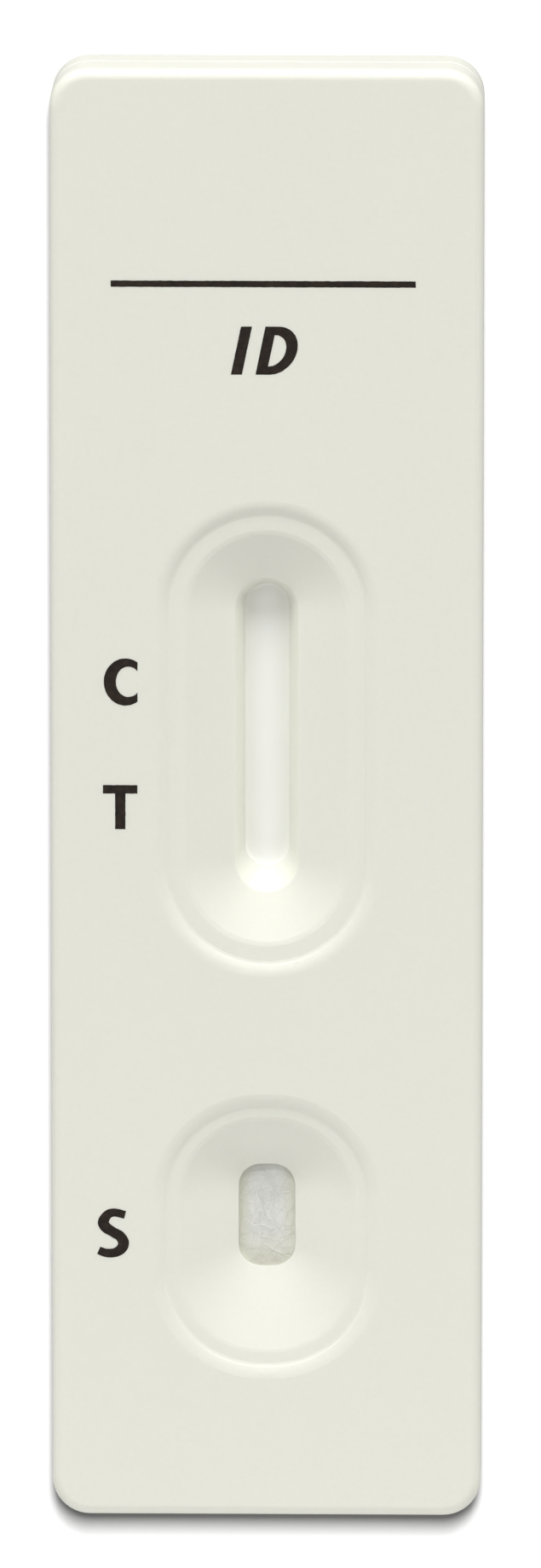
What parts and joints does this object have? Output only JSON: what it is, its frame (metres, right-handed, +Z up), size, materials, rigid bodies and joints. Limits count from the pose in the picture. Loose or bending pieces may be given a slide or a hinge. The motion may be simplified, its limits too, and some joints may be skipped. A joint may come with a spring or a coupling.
{
  "type": "lateral flow cassette",
  "caption": "Flat oblong cassette of cream plastic with an oval result window and an oval sample well, pressed together around a paper test strip.",
  "frame": {"origin": "on the flat base, under the middle of the cassette", "axes": "+Y along the strip from the sample well to the absorbent pad, +Z up out of the window, +X across the strip"},
  "size_m": [0.0206, 0.07, 0.005],
  "materials": {
    "upper_housing": "satin moulded polystyrene, cream white",
    "lower_housing": "satin moulded polystyrene, cream white",
    "backing_card": "matt white adhesive card",
    "membrane": "smooth matt nitrocellulose",
    "conjugate_pad": "glass fibre, tinted by dried conjugate",
    "sample_pad": "glass fibre, loose matted fibres",
    "absorbent_pad": "soft cotton linter paper"
  },
  "bodies": {
    "root": {"upper_housing": "upper_housing", "lower_housing": "lower_housing", "backing_card": "backing_card", "membrane": "membrane", "conjugate_pad": "conjugate_pad", "sample_pad": "sample_pad", "absorbent_pad": "absorbent_pad"}
  },
  "joints": []
}
